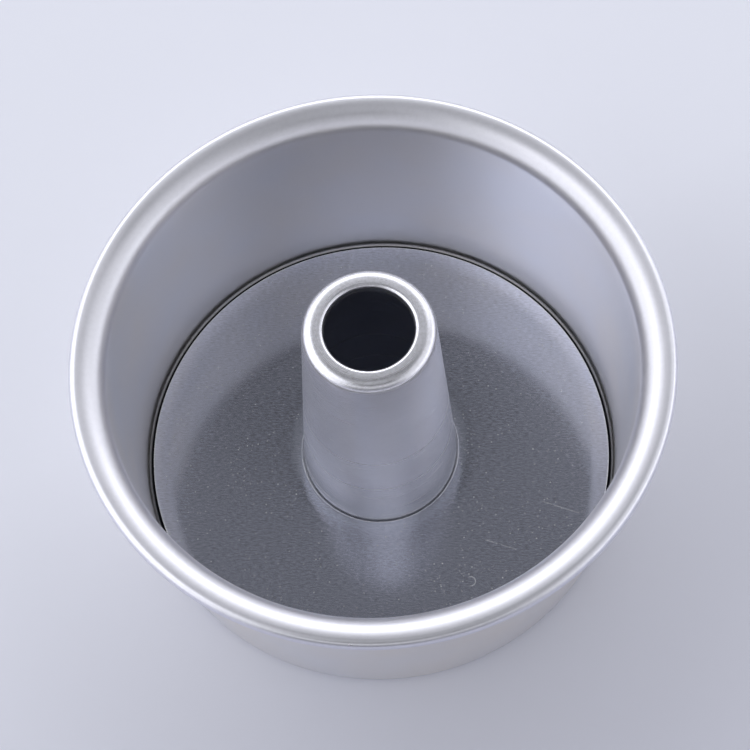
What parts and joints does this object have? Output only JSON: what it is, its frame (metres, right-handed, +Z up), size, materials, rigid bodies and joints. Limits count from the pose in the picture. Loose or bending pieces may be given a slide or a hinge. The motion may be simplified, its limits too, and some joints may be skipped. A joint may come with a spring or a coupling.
{
  "type": "angel food cake pan",
  "caption": "Round tapered cake pan with a flared, rolled rim and a loose flat bottom that lifts out with its tall tapered centre tube.",
  "frame": {"origin": "centre of the pan's underside, on the surface it stands on", "axes": "+Z up along the axis of the ring and tube; the pan is round, so X and Y are free"},
  "size_m": [0.1722, 0.1722, 0.0909],
  "materials": {
    "ring_sheet": "satin anodised, spun sheet",
    "disc_sheet": "satin anodised, rolled grain",
    "tube_sheet": "satin anodised, fine rings from spinning"
  },
  "bodies": {
    "ring": {"outer_ring": "ring_sheet"},
    "loose_bottom": {"base_disc": "disc_sheet", "centre_tube": "tube_sheet"}
  },
  "joints": [
    {"name": "bottom_lift", "type": "slide", "parent": "ring", "child": "loose_bottom", "axis": [0, 0, 1], "range_m": [0, 0.085]}
  ]
}
